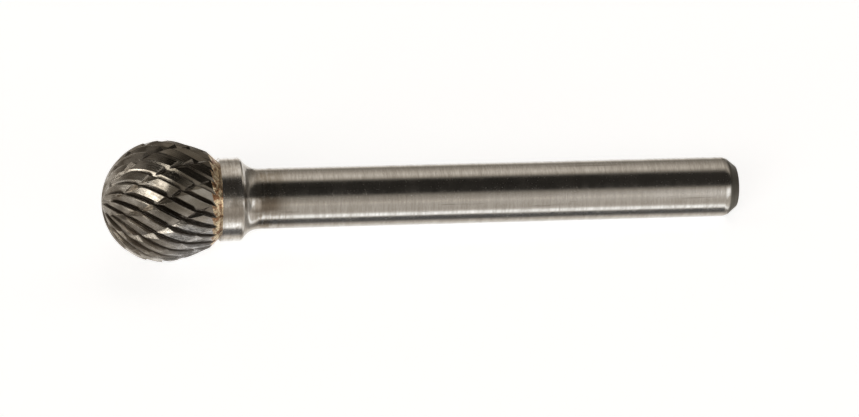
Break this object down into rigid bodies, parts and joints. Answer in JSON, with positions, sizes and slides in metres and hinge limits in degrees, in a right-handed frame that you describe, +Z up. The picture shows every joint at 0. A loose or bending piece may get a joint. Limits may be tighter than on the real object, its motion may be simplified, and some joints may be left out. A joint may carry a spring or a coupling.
{
  "type": "carbide burr",
  "caption": "Ball-nosed rotary burr: double-cut carbide head brazed to a turned steel shank with a collar, lying on its side.",
  "frame": {"origin": "on the surface that the burr lies on, below the middle of its bounding box", "axes": "+Z up; +X from the ball towards the shank's end, seen from above; the tool's own axis dips about three degrees from the ball to the shank's end"},
  "size_m": [0.0637, 0.012, 0.012],
  "materials": {
    "carbide": "ground tungsten carbide, dark warm grey with bright facets",
    "braze": "golden brazing filler, ground with the teeth",
    "steel": "fine ground steel"
  },
  "bodies": {
    "root": {"carbide_head": "carbide", "braze_joint": "braze", "steel_shank": "steel"}
  },
  "joints": []
}
